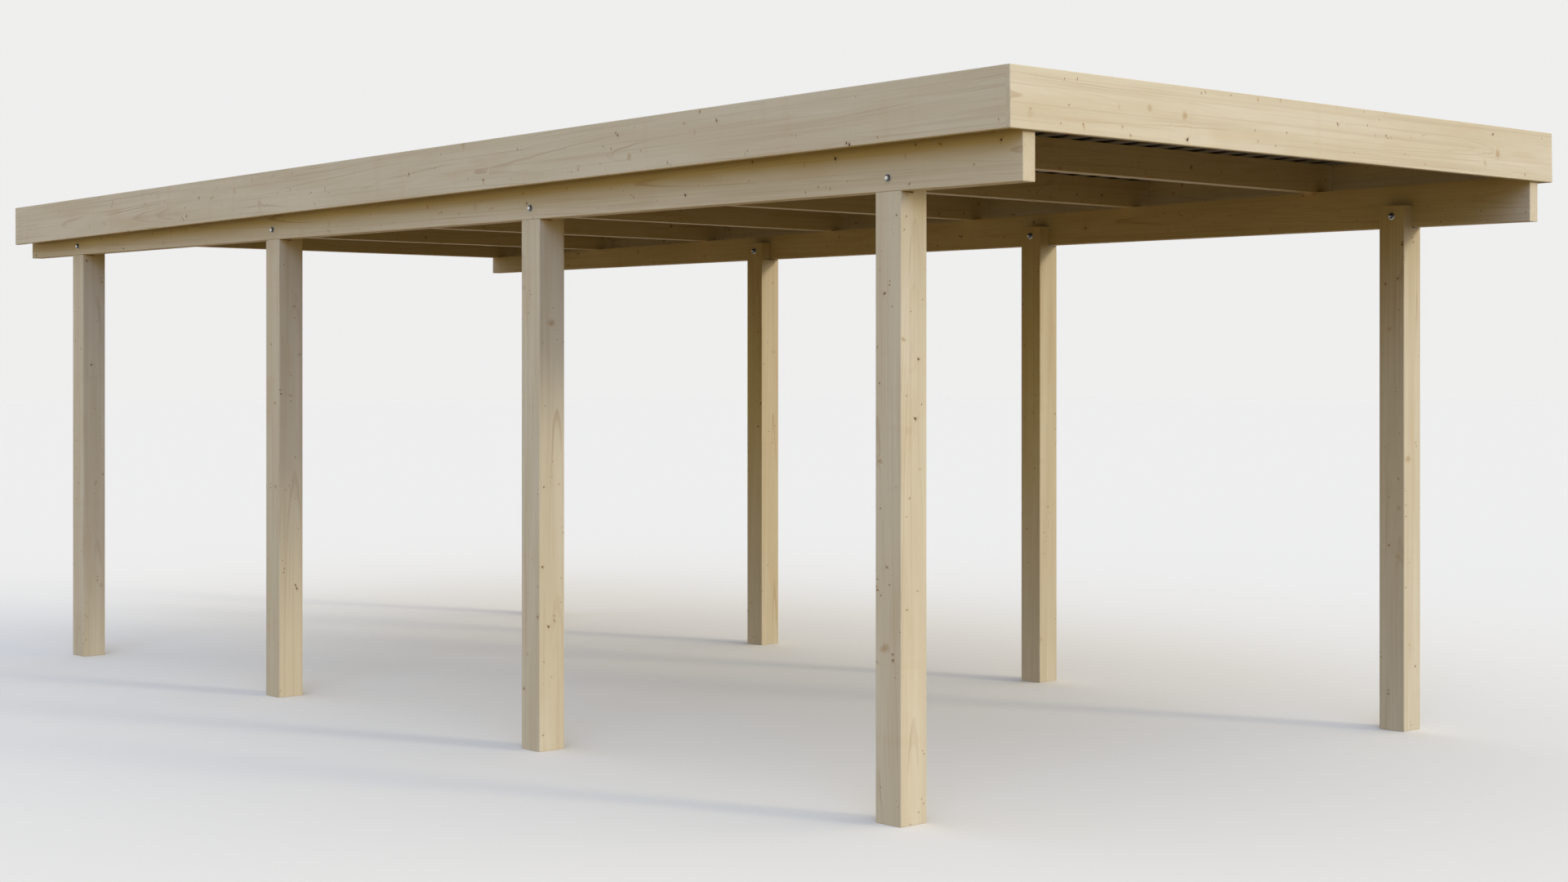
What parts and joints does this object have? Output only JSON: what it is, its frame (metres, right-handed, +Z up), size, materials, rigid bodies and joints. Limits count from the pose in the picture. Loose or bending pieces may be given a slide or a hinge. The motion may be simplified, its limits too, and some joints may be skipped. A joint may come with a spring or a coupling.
{
  "type": "carport",
  "caption": "Open timber carport for one car: square posts notched for long beams, rafters across them, fascia boards and a ribbed metal roof that falls to the rear.",
  "frame": {"origin": "on the ground, under the middle of the roof's outline", "axes": "+X to the right seen from the entrance, +Y from the entrance to the rear, +Z up"},
  "size_m": [3.15, 7.2574, 2.4272],
  "materials": {
    "post_wood": "planed, untreated",
    "beam_wood": "planed, untreated",
    "rafter_wood": "planed, untreated",
    "fascia_wood": "planed, untreated",
    "roof_metal": "satin"
  },
  "bodies": {
    "root": {"post_left_1": "post_wood", "post_left_2": "post_wood", "post_left_3": "post_wood", "post_left_4": "post_wood", "post_right_1": "post_wood", "post_right_2": "post_wood", "post_right_3": "post_wood", "post_right_4": "post_wood", "beam_left": "beam_wood", "beam_right": "beam_wood", "rafter_1": "rafter_wood", "rafter_2": "rafter_wood", "rafter_3": "rafter_wood", "rafter_4": "rafter_wood", "rafter_5": "rafter_wood", "rafter_6": "rafter_wood", "rafter_7": "rafter_wood", "rafter_8": "rafter_wood", "fascia_front": "fascia_wood", "fascia_left": "fascia_wood", "fascia_right": "fascia_wood", "roof_sheet_1": "roof_metal", "roof_sheet_2": "roof_metal", "roof_sheet_3": "roof_metal"}
  },
  "joints": []
}
